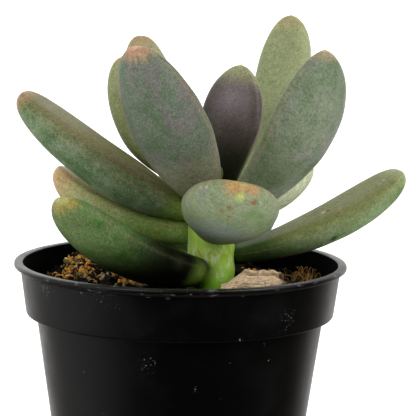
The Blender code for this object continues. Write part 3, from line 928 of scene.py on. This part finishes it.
@dataclass
class PottingMix:
    """Rough gritty soil with loose grains and fine root fibres on top. Sizes in mm."""

    level: float = 51.4
    mound: float = 3.8
    mound_at: tuple[float, float] = (-19.0, 17.0)
    mound_reach: float = 11.0
    edge: float = 29.45
    dry_bed: tuple[float, float] = (14.3, -8.4)
    # Each tuft of fibres is a count, the x and y of its middle and its spread along x and y
    tufts: tuple[tuple[float, ...], ...] = (
        (12, 21.8, 8.0, 0.8, 2.4), (46, 24.8, 8.0, 1.0, 2.6), (12, 27.2, 9.0, 0.6, 2.4),
        (10, -21.0, 9.0, 3.0, 3.0), (10, -10.0, 12.0, 5.0, 5.0), (8, 5.0, 20.0, 6.0, 3.0),
    )
    rng: np.random.Generator = field(default_factory=lambda: np.random.default_rng(23))

    def height(self, x: np.ndarray, y: np.ndarray) -> np.ndarray:
        """Height of the soil: a level bed, an eased mound on the left, and rounded lumps.

        The lumps are the size of smooth noise in three octaves, in cells 2.6 mm wide. The lumps fade out
        round the stem and under the dried leaf.

        Args:
            x: Places to the right, in mm.
            y: Places to the back, in mm.

        Returns:
            Heights above the pot's underside, in mm.
        """
        away = np.hypot(x - self.mound_at[0], y - self.mound_at[1])
        ground = self.level + self.mound * ease(1.0 - away / self.mound_reach)
        flat = np.stack([x, y, 0.0 * x], -1)
        lumps = np.abs(value_noise(flat, 2.6, 3)) * 1.0
        from_stem = ease((np.hypot(x - Stem.AXIS[0], y - Stem.AXIS[1]) - 6.0) / 4.0)
        from_dry = ease((np.hypot((x - self.dry_bed[0]) / 1.6, y - self.dry_bed[1]) - 4.6) / 3.0)
        return ground + lumps * (0.25 + 0.75 * from_stem * from_dry)

    def build_bed(self) -> None:
        """Make the body of the soil: a plug that fills the pot, with a rough top."""
        steps, rings = 260, 110
        wall = np.array([
            (0.5, 1.9),
            (20.1, 1.9),
            (26.9, POT_HEIGHT - 10.6),
            (28.85, POT_HEIGHT - 8.8),
            (self.edge, self.level - 0.6),
        ])
        radii = np.linspace(self.edge, 0.3, rings)
        top = turned_rings(np.stack([radii, 0.0 * radii], -1), steps)
        top[..., 2] = self.height(top[..., 0], top[..., 1])
        stack = np.concatenate([turned_rings(wall, steps), top])
        middle = (0.0, 0.0, float(self.height(np.zeros(1), np.zeros(1))[0]))
        add_piece(
            "soil_bed", close_rings(stack, (0.0, 0.0, 1.9), middle), ring_faces(len(stack), steps),
            self.bed_material(), ("soil",),
        )

    def bed_material(self) -> bpy.types.Material:
        """Damp humus, painted nearly black brown as the shade under the leaves, with lighter crumbs."""
        material, tree, shader, place = new_material("damp humus painted dark as shade")
        # Crumbs are 1.4 mm wide and dust is 0.4 mm
        crumb, dust = (
            add_node(tree, "ShaderNodeTexNoise", {
                "Vector": place, "Scale": scale, "Detail": 4.0, "Roughness": 0.7,
            }).outputs["Fac"]
            for scale in (per_mm(1.4), per_mm(0.4))
        )
        # Painted shade: the humus is coloured nearly black, as the shade under the leaves.
        ramp = add_node(tree, "ShaderNodeValToRGB", {"Fac": crumb}, stops=(
            (0.35, "#070504"), (0.75, "#2A1C0E"), (0.55, "#120C07"),
        ))
        bump = add_node(tree, "ShaderNodeBump", {"Height": dust, "Strength": 0.9, "Distance": 0.4 * MM})
        set_sockets(tree, shader, {
            "Base Color": ramp.outputs[0], "Roughness": 0.95, "Normal": bump.outputs[0],
        })
        return material

    def build_grains(self) -> None:
        """Scatter loose crumbs over the soil, as one piece for each kind.

        A crumb is a lump of four rings of seven points, pushed in and out at random,
        stretched along three axes and turned. Crumbs lie in knots of about nine, some of
        them on top of others.
        """
        rings, steps = 4, 7
        tilt = np.linspace(0.0, math.pi, rings + 2)[1:-1, None]
        turn = np.linspace(0.0, 2.0 * math.pi, steps, endpoint=False)[None, :] + 0.4 * tilt
        ball = np.stack([
            np.sin(tilt) * np.cos(turn), np.sin(tilt) * np.sin(turn), -np.cos(tilt) + 0.0 * turn,
        ], -1)
        form = close_rings(ball, (0.0, 0.0, -1.0), (0.0, 0.0, 1.0))
        one = ring_faces(rings, steps)
        for kind in GrainKind:
            grit = kind.value
            patches = np.array(grit.patches)
            knots = patches[self.rng.integers(len(patches), size=grit.count // 9 + 1)]
            knots = knots[:, :2] + knots[:, 2:] * self.rng.normal(size=(len(knots), 2))
            spot = knots[self.rng.integers(len(knots), size=grit.count)]
            spot = spot + self.rng.normal(scale=0.8, size=spot.shape)
            x, y = spot.T
            keep = np.hypot(x, y) < self.edge - 0.9
            keep &= np.hypot(x - Stem.AXIS[0], y - Stem.AXIS[1]) > 5.8
            keep &= np.hypot((x - self.dry_bed[0]) / 1.9, y - self.dry_bed[1]) > 3.4
            x, y = x[keep], y[keep]
            size = self.rng.uniform(*grit.radii, len(x))
            stretch = self.rng.uniform(0.6, 1.2, (len(x), 1, 3)) * size[:, None, None]
            knobs = 1.0 + 0.5 * (self.rng.random((len(x), len(form), 1)) - 0.5)
            axes = np.linalg.qr(self.rng.normal(size=(len(x), 3, 3)))[0]
            balls = (form[None] * knobs * stretch) @ axes
            lift = grit.pile * self.rng.random(len(x)) ** 2
            centre = np.stack([x, y, self.height(x, y) + 0.2 * size + lift], -1)
            points = (balls + centre[:, None]).reshape(-1, 3)
            faces = [
                [corner + number * len(form) for corner in side]
                for number in range(len(x)) for side in one
            ]
            tone = np.repeat(self.rng.random(len(x)), len(form))
            label = kind.name.lower()
            add_piece(
                f"soil_grains_{label}", points, faces, self.grain_material(label, grit.colour),
                (), np.stack([tone, tone, tone, tone], -1), smooth=False,
            )

    def grain_material(self, label: str, colour: str) -> bpy.types.Material:
        """Dry grit: matt and pitted, each grain a shade lighter or darker than the next."""
        material, tree, shader, place = new_material(f"dry grit {label}")
        tone = add_node(tree, "ShaderNodeAttribute", attribute_name="marks").outputs["Fac"]
        # Pits are 0.25 mm wide
        pits = add_node(tree, "ShaderNodeTexNoise", {
            "Vector": place, "Scale": per_mm(0.25), "Detail": 3.0,
        }).outputs["Fac"]
        both = add_node(tree, "ShaderNodeMath", {0: pits, 1: tone}, operation="ADD")
        light = add_node(tree, "ShaderNodeMapRange", {
            "Value": both.outputs[0], "From Min": 0.4, "From Max": 1.5, "To Min": 0.4, "To Max": 1.5,
        })
        toned = add_node(tree, "ShaderNodeVectorMath", {
            0: linear(colour)[:3], "Scale": light.outputs[0],
        }, operation="SCALE")
        bump = add_node(tree, "ShaderNodeBump", {"Height": pits, "Strength": 0.8, "Distance": 0.15 * MM})
        set_sockets(tree, shader, {
            "Base Color": toned.outputs[0], "Roughness": 0.9, "Normal": bump.outputs[0],
        })
        return material

    def build_fibres(self) -> None:
        """Make fine root fibres that curl out of the soil, most of them at the right.

        A fibre is a thin tube along an arc that bends sideways as a sine of its length and
        rises and sinks as a bent half wave.
        """
        points_along, sides = 24, 5
        foot = np.concatenate([
            self.rng.normal(tuft[1:3], tuft[3:], (tuft[0], 2)) for tuft in self.tufts
        ])
        foot *= np.minimum(1.0, 27.5 / np.hypot(*foot.T))[:, None]
        count = len(foot)
        run = np.linspace(0.0, 1.0, points_along)[None, :]
        heading = self.rng.uniform(0.0, 2.0 * math.pi, (count, 1))
        length = self.rng.uniform(1.6, 4.8, (count, 1))
        curl = self.rng.uniform(1.0, 3.6, (count, 1))
        twist = self.rng.uniform(2.5, 7.0, (count, 1))
        lift = self.rng.uniform(0.4, 3.2, (count, 1))
        bend = heading + curl * np.sin(twist * run)
        x = foot[:, :1] + np.cumsum(np.cos(bend), 1) * length / points_along
        y = foot[:, 1:] + np.cumsum(np.sin(bend), 1) * length / points_along
        inside = np.minimum(1.0, 28.6 / np.hypot(x, y))
        x, y = x * inside, y * inside
        z = self.height(foot[:, :1], foot[:, 1:]) - 0.2 + lift * np.sin(math.pi * run ** 0.8)
        z += 0.25 * np.sin(twist * 1.7 * run + heading)
        line = np.stack([x, y, z], -1)
        ahead = np.gradient(line, axis=1)
        ahead /= np.linalg.norm(ahead, axis=-1, keepdims=True)
        side = np.cross(ahead, np.array([0.3, 0.2, 0.93]))
        side /= np.linalg.norm(side, axis=-1, keepdims=True)
        other = np.cross(ahead, side)
        turn = np.linspace(0.0, 2.0 * math.pi, sides, endpoint=False)
        thick = self.rng.uniform(0.07, 0.15, (count, 1, 1, 1)) * (1.0 - 0.6 * run[..., None, None])
        round_about = side[:, :, None] * np.cos(turn)[:, None] + other[:, :, None] * np.sin(turn)[:, None]
        tube = line[:, :, None] + thick * round_about
        per_fibre = points_along * sides + 2
        points = np.concatenate([tube.reshape(count, -1, 3), line[:, :1], line[:, -1:]], 1).reshape(-1, 3)
        one = ring_faces(points_along, sides)
        faces = [
            [corner + number * per_fibre for corner in face] for number in range(count) for face in one
        ]
        tone = np.repeat(self.rng.random(count), per_fibre)
        add_piece(
            "root_fibres", points, faces, self.grain_material("root fibre", "#BC965C"),
            (), np.stack([tone, tone, tone, tone], -1),
        )

    def build(self) -> None:
        """Make the soil, its grains and its fibres."""
        self.build_bed()
        self.build_grains()
        self.build_fibres()


@dataclass(frozen=True)
class DriedLeaf:
    """The shrivelled leaf on the soil: a thin, folded and wrinkled shell. Sizes in mm."""

    stalk_end: tuple[float, float] = (8.0, -8.6)
    torn_end: tuple[float, float] = (20.6, -9.4)
    width: float = 4.9
    thick: float = 0.5
    lean: float = 62.0
    curl: float = 1.3
    rings: int = 130
    steps: int = 60

    def sheet(self) -> tuple[np.ndarray, np.ndarray, np.ndarray, np.ndarray]:
        """Middle of the shell.

        The shell opens from the stalk end, bulges to the front as a parabola across and
        half a sine along, and carries wrinkles: bent ribs that fan out from the stalk, folded
        noise, and a crease under a rolled upper lip.

        Returns:
            Its points, the place along it, the place across it and the height of its wrinkles.
        """
        along = np.linspace(0.0, 1.0, self.rings)[:, None]
        across = np.linspace(-1.0, 1.0, self.steps)[None, :]
        opening = 0.4 + 0.6 * ease(along / 0.42)
        peak = 0.07 * np.exp(-((along - 0.36) / 0.035) ** 2) - 0.05 * np.exp(-((along - 0.52) / 0.08) ** 2)
        ragged = 1.0 + peak + 0.03 * np.sin(41.0 * along + 1.0) * ease((along - 0.5) / 0.3)
        width = self.width * opening * (1.0 - 0.12 * ease((along - 0.75) / 0.25)) * ragged
        up = width * (across + 1.0) / 2.0
        bulge = self.curl * (1.0 - across ** 2) * (0.4 + 0.6 * np.sin(math.pi * along))
        grid = np.stack([12.0 * along + 0.0 * across, 3.0 * across + 0.0 * along, 0.0 * along * across], -1)
        folds = 0.5 - np.abs(value_noise(grid * np.array([0.5, 1.6, 1.0]), 1.3, 3, 2.0))
        ribs = np.abs(np.sin(11.0 * across - 5.0 * along + 2.2 * value_noise(grid, 2.0, 3))) ** 0.5
        wrinkle = 0.22 * folds + 0.07 * (ribs - 0.7) * (0.35 + 0.65 * along)
        rolled = ease((along - 0.3) / 0.15)
        crease = np.exp(-((across - 0.52) / 0.09) ** 2) * rolled
        wrinkle = wrinkle - 0.45 * crease
        rim = 0.75 * ease((across - 0.55) / 0.3) * rolled
        lean = math.radians(self.lean)
        out = bulge + wrinkle + rim
        back = up * math.cos(lean) - out * math.sin(lean)
        rise = up * math.sin(lean) + out * math.cos(lean)
        tear = 0.35 * np.sin(5.0 * across + 1.0) + 0.2 * np.sin(13.0 * across)
        end = ease((along - 0.85) / 0.15) * (tear - 0.55)
        x = self.stalk_end[0] + (self.torn_end[0] - self.stalk_end[0]) * along + end
        y = self.stalk_end[1] + (self.torn_end[1] - self.stalk_end[1]) * along + back
        z = PottingMix().level + SEAT_GAP + 0.55 + rise
        line = np.stack([x + 0.0 * across, y, z], -1)
        return line, along + 0.0 * across, 0.5 + 0.5 * across + 0.0 * along, wrinkle

    def build(self) -> None:
        """Make the dried leaf in the place of its CAD node, closed round its edges."""
        middle, along, across, wrinkle = self.sheet()
        ahead = np.gradient(middle, axis=0)
        beside = np.gradient(middle, axis=1)
        facing = np.cross(ahead, beside)
        facing /= np.linalg.norm(facing, axis=-1, keepdims=True)
        rim = np.sin(np.linspace(0.0, math.pi, self.steps))[None, :, None] ** 0.3
        half = facing * self.thick / 2.0 * (0.25 + 0.75 * rim)
        loops = np.concatenate([(middle + half)[:, ::-1], middle - half], 1)
        # The second mark is the wrinkles' height, which the material turns into painted shade in the folds
        # and the crease.
        side = np.stack([along, 0.5 + wrinkle, across, 0.0 * along], -1)
        marks = np.concatenate([side[:, ::-1], side], 1)
        low, high = loops[0].mean(0), loops[-1].mean(0)
        ends = np.array([[0.0, 0.5, 0.0, 0.0], [1.0, 0.5, 0.0, 0.0]])
        add_piece(
            "dry_leaf_shell", close_rings(loops, low, high), ring_faces(self.rings, 2 * self.steps),
            self.material(), ("dry_leaf",), np.concatenate([marks.reshape(-1, 4), ends]),
        )

    def material(self) -> bpy.types.Material:
        """Dead leaf tissue: matt and papery, pale tan with pink stains and brown veins, and dark painted
        shade in the folds, the crease under the rolled lip and the torn end.
        """
        material, tree, shader, place = new_material("shrivelled leaf tissue")
        marks = add_node(tree, "ShaderNodeAttribute", attribute_name="marks")
        split = add_node(tree, "ShaderNodeSeparateColor", {"Color": marks.outputs["Color"]})
        # Veins fan out with the shell, in meshes 1.6 mm long and 0.6 mm wide
        spread = add_node(tree, "ShaderNodeMapping", {
            "Vector": marks.outputs["Vector"], "Scale": (8.0, 0.0, 8.0),
        })
        bent = add_node(tree, "ShaderNodeTexNoise", {
            "Vector": spread.outputs[0], "Scale": 0.8, "Detail": 2.0,
        })
        strayed = add_node(tree, "ShaderNodeVectorMath", {
            0: bent.outputs["Color"], 1: (1.6, 0.0, 1.6), 2: spread.outputs[0],
        }, operation="MULTIPLY_ADD")
        veins = add_node(tree, "ShaderNodeTexVoronoi", {
            "Vector": strayed.outputs[0], "Scale": 1.0,
        }, feature="DISTANCE_TO_EDGE").outputs["Distance"]
        # Stains are 2 mm wide and fibres 0.3 mm
        stain, fibre = (
            add_node(tree, "ShaderNodeTexNoise", {
                "Vector": place, "Scale": scale, "Detail": 4.0, "Roughness": 0.65,
            }).outputs["Fac"]
            for scale in (per_mm(2.0), per_mm(0.3))
        )
        colour = layer_colours(tree, "#F2D8B6", [
            (stain, 0.5, 0.7, 0.5, "#D0A288"),
            (fibre, 0.6, 0.75, 0.3, "#E4CEB4"),
            (veins, 0.07, 0.01, 0.5, "#7E5640"),
            # Painted shade: the low folds and the crease under the rolled lip are near black brown.
            (split.outputs["Green"], 0.44, 0.24, 0.9, "#3C2618"),
            # Painted shade: the torn end is near black brown, as the shade in its opening.
            (split.outputs["Red"], 0.86, 0.98, 0.85, "#3E2818"),
        ])
        bump = add_node(tree, "ShaderNodeBump", {"Height": fibre, "Strength": 0.6, "Distance": 0.12 * MM})
        set_sockets(tree, shader, {"Base Color": colour, "Roughness": 0.85, "Normal": bump.outputs[0]})
        return material


@dataclass(frozen=True)
class Studio:
    """Camera, soft lights and a pale floor. Lengths in mm, angles in degrees."""

    picture: int = 416
    focal_pixels: float = 1783.1
    sensor: float = 36.0
    target: tuple[float, float, float] = (5.2, 0.0, 67.83)
    distance: float = 350.0
    pitch: float = 7.73
    roll: float = 0.97

    def build_camera(self) -> None:
        """Set the camera where the photograph was taken from.

        The focal length is the sensor's width times the focal length in pixels over the
        picture's width.
        """
        data = bpy.data.cameras.new("camera")
        data.sensor_width = self.sensor
        data.lens = self.sensor * self.focal_pixels / self.picture
        pitch, roll = math.radians(self.pitch), math.radians(self.roll)
        back = Vector((0.0, -math.cos(pitch), math.sin(pitch)))
        level_right = Vector((1.0, 0.0, 0.0))
        level_up = back.cross(level_right)
        right = level_right * math.cos(roll) + level_up * math.sin(roll)
        up = level_up * math.cos(roll) - level_right * math.sin(roll)
        camera = bpy.data.objects.new("camera", data)
        turn = Matrix((right, up, back)).transposed().to_4x4()
        camera.matrix_world = Matrix.Translation((Vector(self.target) + back * self.distance) * MM) @ turn
        data.clip_start, data.clip_end = 0.01, 50.0
        bpy.context.scene.collection.objects.link(camera)
        bpy.context.scene.camera = camera

    def build_lights(self) -> None:
        """Light the plant with three soft lamps and two pale walls, with dark behind the camera.

        A wall's light in a direction depends on how near that direction is to the wall's own.
        """
        lamps = (
            ("left softbox", (-0.45, -0.75, 0.48), 30.0, 0.65),
            ("right softbox", (0.62, -0.36, 0.70), 30.0, 1.2),
            ("low right card", (0.88, -0.42, 0.20), 30.0, 0.5),
        )
        for name, towards, spread, power in lamps:
            data = bpy.data.lights.new(name, "SUN")
            data.angle = math.radians(spread)
            data.energy = power
            lamp = bpy.data.objects.new(name, data)
            lamp.rotation_euler = Vector(towards).to_track_quat("Z", "Y").to_euler()
            bpy.context.scene.collection.objects.link(lamp)
        world = bpy.data.worlds.new("pale walls")
        world.use_nodes = True
        tree = world.node_tree
        towards = add_node(tree, "ShaderNodeTexCoord").outputs["Generated"]
        walls = []
        for facing, strength in (((-0.93, -0.1, 0.35), 0.58), ((0.0, 0.93, 0.35), 1.2)):
            lean = add_node(tree, "ShaderNodeVectorMath", {0: towards, 1: facing}, operation="DOT_PRODUCT")
            walls.append(add_node(tree, "ShaderNodeMapRange", {
                "Value": lean.outputs["Value"], "From Min": 0.3, "From Max": 0.9,
                "To Min": 0.0, "To Max": strength,
            }, interpolation_type="SMOOTHSTEP").outputs[0])
        both = add_node(tree, "ShaderNodeMath", {0: walls[0], 1: walls[1]}, operation="ADD")
        set_sockets(tree, tree.nodes["Background"], {
            "Color": linear("#FFFFFF"), "Strength": both.outputs[0],
        })
        bpy.context.scene.world = world
        bpy.context.scene.view_settings.view_transform = "Standard"
        bpy.context.scene.view_settings.look = "Medium High Contrast"

    def build_floor(self) -> None:
        """Lay a plain white floor under the pot, which throws light up at the leaves."""
        reach = 12.0
        mesh = bpy.data.meshes.new("floor")
        corners = [(-reach, -reach, 0.0), (reach, -reach, 0.0), (reach, reach, 0.0), (-reach, reach, 0.0)]
        mesh.from_pydata(corners, [], [(0, 1, 2, 3)])
        material, tree, shader, _ = new_material("white paper floor")
        set_sockets(tree, shader, {
            "Base Color": linear("#F7F7F6"), "Roughness": 0.9,
            "Emission Color": linear("#FFFFFF"), "Emission Strength": 0.45,
        })
        mesh.materials.append(material)
        floor = bpy.data.objects.new("floor", mesh)
        floor.visible_glossy = False
        bpy.context.scene.collection.objects.link(floor)

    def build(self) -> None:
        """Make the camera, the lights and the floor."""
        self.build_camera()
        self.build_lights()
        self.build_floor()


LEAVES = (
    FleshyLeaf(
        "leaf_left_long",
        LeafForm(67.0, 190, -26, (27.5, 39.5), 41.5, 13.3, 9.4, -4,
                 neck=(0.42, 0.36), widest=0.44, blunt=0.35),
        WaxyLeafSkin(bloom="#7C8C6E", flesh="#40622A", blush="#767A64", upper="#827A54", upper_share=0.8,
                     tip="#B08E6C", patch=0.66, blush_share=0.25, speckle=1.4),
    ),
    FleshyLeaf(
        "leaf_front_left_tall",
        LeafForm(70.5, 244.5, -11, (44.5, 55.5), 39.3, 16.2, 9.5, 3,
                 neck=(0.45, 0.46), widest=0.55, swell=0.3, keel=0.3),
        WaxyLeafSkin(bloom="#6C7866", flesh="#4E6644", blush="#787270", tip="#C89C7E", blush_share=0.5,
                     speckle=1.1, tip_reach=0.07, nib="#D8AE90", root="#A8A48E", root_reach=0.5,
                     root_share=0.8),
    ),
    FleshyLeaf(
        "leaf_left_tall",
        LeafForm(72.0, 157, 4, (37, 77), 30.5, 12.5, 8.8, -10,
                 neck=(0.42, 0.40), widest=0.55, swell=1.0),
        WaxyLeafSkin(bloom="#949A72", flesh="#7C9058", blush="#98936C", upper="#9A9A6E", tip="#B8845A",
                     tip_reach=0.06),
    ),
    FleshyLeaf(
        "leaf_back_left_tall",
        LeafForm(69.7, 114, 6.5, (24, 63.5), 45.0, 11.2, 9.0, 3, neck=(0.36, 0.42), blunt=0.38),
        WaxyLeafSkin(bloom="#A0A280", flesh="#8A9C6C", blush="#A29C7A", upper="#A4A47E", tip="#B09068",
                     speckle=0.5),
    ),
    FleshyLeaf(
        "leaf_centre",
        LeafForm(71.8, 58, -2, (76, 72.5), 25.0, 12.5, 7.5, 10,
                 widest=0.57, blunt=0.6, swell=0.6, root_azimuth=25, root_radius=3.0),
        # Its dark purple-brown is partly its own colour and partly painted shade; the dark root colour is
        # painted shade down in the crown, and the pale mauve spot is a painted sheen.
        WaxyLeafSkin(bloom="#686058", flesh="#42422E", blush="#504642", upper="#5A5050", upper_share=0.6,
                     margin="#A08060", tip="#ACB084", tip_reach=0.24, root="#262E12", root_reach=0.5,
                     roughness=0.42, spots=(Spot((9.5, 3.0, 89.4), 4.2, "#9C9098", 0.6, 0.95),)),
    ),
    FleshyLeaf(
        "leaf_back_right_tall",
        LeafForm(70.0, 61, -1.5, (21.5, 80), 47.5, 11.2, 8.0, -3, neck=(0.34, 0.36), widest=0.77),
        WaxyLeafSkin(bloom="#A0A880", flesh="#869A6A", blush="#A09E7C", upper="#A2A87E", tip="#B0A478",
                     speckle=0.45),
    ),
    FleshyLeaf(
        "leaf_front_right_tall",
        LeafForm(68.0, -40, -1, (29.5, 79), 40.9, 15.6, 9.5, -4,
                 widest=0.67, blunt=0.6, swell=0.6, keel=0.3),
        WaxyLeafSkin(bloom="#7C8670", flesh="#5A704C", blush="#888880", margin="#A08A60", tip="#B49878",
                     tip_reach=0.06, nib="#C8BC80", root="#A0AA98", root_reach=0.45, root_share=0.8),
    ),
    FleshyLeaf(
        "leaf_right_short",
        LeafForm(65.4, 20, 0, (38, 26), 20.8, 11.0, 7.4, neck=(0.36, 0.46)),
        WaxyLeafSkin(bloom="#C8CEB0", flesh="#B0BC90", blush="#C8C4AC", upper="#C2C8A8", speckle=0.35,
                     root="#C0CCA0"),
    ),
    FleshyLeaf(
        "leaf_front",
        LeafForm(63.7, -81, -2.5, (19, 28), 33.0, 18.0, 8.1, -10,
                 neck=(0.38, 0.50), widest=0.6, swell=0.55),
        WaxyLeafSkin(
            bloom="#889374", flesh="#728A58", blush="#8A8C80", upper="#9C9268", upper_share=0.6,
            tip="#B08A5C", tip_reach=0.03, nib="#9CA070", patch=0.4, speckle=0.5,
            spots=(
                Spot((7.0, -22.5, 65.2), 6.0, "#8C96A0", 0.6, 0.9),
                Spot((10.0, -33.3, 76.2), 2.4, "#C09058", 0.7, 0.9),
                Spot((13.4, -32.7, 75.7), 1.6, "#C4884E", 0.65, 0.9),
                Spot((10.9, -33.1, 74.4), 1.0, "#B2BE62", 0.9, 0.8),
                Spot((11.0, -33.0, 73.4), 0.7, "#A8BC5C", 0.7, 0.8),
                Spot((7.6, -30.4, 71.4), 0.7, "#8A6A38"),
                Spot((9.1, -31.6, 72.2), 0.75, "#8A5C30"),
                Spot((9.0, -29.9, 70.3), 0.65, "#9A7048"),
                Spot((13.4, -32.1, 73.3), 0.95, "#8E6234"),
                Spot((4.0, -30.0, 75.6), 0.7, "#B0B498", 0.6),
                Spot((4.9, -31.1, 75.8), 0.5, "#C0C4B0", 0.7),
            ),
        ),
    ),
    FleshyLeaf(
        "leaf_right_low",
        LeafForm(59.0, 12, 8, (9, 38), 39.8, 12.0, 7.0, 5,
                 widest=0.68, blunt=0.36, swell=0.25),
        WaxyLeafSkin(
            bloom="#7E9068", flesh="#5E7844", blush="#868A64", upper="#8A8C58", upper_share=0.85,
            # The dark green root colour is painted shade over the dark soil.
            tip="#A6B080", tip_reach=0.12, root="#3A5420", root_reach=0.34,
            spots=(
                Spot((28.9, 4.4, 67.0), 1.0, "#7E5230"),
                Spot((28.2, 4.6, 66.7), 0.8, "#D0C8A8"),
                Spot((31.2, 3.3, 67.7), 0.7, "#B89460"),
                Spot((30.1, 1.3, 62.0), 1.1, "#3C2E1C"),
                Spot((40.2, 7.5, 73.1), 0.5, "#BCBE9C", 0.6),
                Spot((39.4, 6.5, 72.4), 0.5, "#BCBE9C", 0.6),
            ),
        ),
    ),
    FleshyLeaf(
        "leaf_left_low",
        LeafForm(56.4, 218, 1.5, (9, 42.5), 37.2, 14.2, 8.5, 7,
                 neck=(0.47, 0.62), widest=0.58, blunt=0.35, swell=-0.35, root_azimuth=235),
        # The near-black root colour is painted shadow cast by the leaves above; the two yellow-green patches
        # at the root end are partly its own paler green and partly a painted highlight.
        WaxyLeafSkin(bloom="#64784A", flesh="#3C6822", blush="#626846", upper="#58783A",
                     tip="#A4944E", tip_reach=0.055, nib="#B0B070", margin="#78804A", speckle=1.5,
                     root="#0E1507", root_reach=0.74, root_share=0.97,
                     spots=(
                         Spot((3.8, -9.2, 56.4), 2.8, "#B4D868", 0.95, 0.9),
                         Spot((2.3, -9.7, 54.9), 2.2, "#94B04C", 0.85, 0.9),
                         Spot((0.0, -14.2, 59.4), 1.8, "#5A5A44", 0.7, 0.9),
                     )),
    ),
    FleshyLeaf(
        "leaf_left_middle",
        LeafForm(63.7, 166, 0, (-2, 44), 31.5, 12.0, 7.6, 8,
                 neck=(0.46, 0.66), widest=0.67, blunt=0.4, swell=0.6),
        WaxyLeafSkin(bloom="#A6B480", flesh="#8EAC5E", blush="#B0A47C", upper="#B29E72",
                     tip="#C09670", tip_reach=0.32, margin="#B08C5C", root="#88A84C", root_reach=0.5,
                     root_share=0.7),
    ),
    FleshyLeaf("leaf_back_middle", LeafForm(64.8, 103, 0, (9, 24), 31.0, 12.0, 8.0), WaxyLeafSkin()),
    FleshyLeaf("leaf_back_left_low", LeafForm(58.0, 134, -4, (2, 30), 31.0, 12.0, 8.5), WaxyLeafSkin()),
    FleshyLeaf(
        "leaf_back_right_low",
        LeafForm(60.4, 68, 0, (3, 26), 27.0, 11.0, 7.5, neck=(0.36, 0.46)), WaxyLeafSkin(),
    ),
    FleshyLeaf(
        "bud_leaf_left",
        LeafForm(71.8, 185, 0, (64, 84), 6.5, 3.4, 2.4, root_radius=1.9, sunk=0.6, rounding=0.8,
                 keel=0.0, nib=0.4),
        WaxyLeafSkin(bloom="#90A070", flesh="#7C9450", tip="#B09068"),
    ),
    FleshyLeaf(
        "bud_leaf_front",
        LeafForm(71.8, -80, 0, (62, 84), 5.5, 3.2, 2.2, root_radius=1.9, sunk=0.6, rounding=0.8,
                 keel=0.0, nib=0.4),
        WaxyLeafSkin(bloom="#90A070", flesh="#7C9450", tip="#B09068"),
    ),
)


def main() -> None:
    """Build the plant from the pot up, then the studio."""
    logging.basicConfig(level=logging.INFO, format="%(message)s")
    Studio().build()
    NurseryPot().build()
    PottingMix().build()
    Stem().build()
    for leaf in LEAVES:
        leaf.build()
    DriedLeaf().build()


if __name__ == "__main__":
    main()
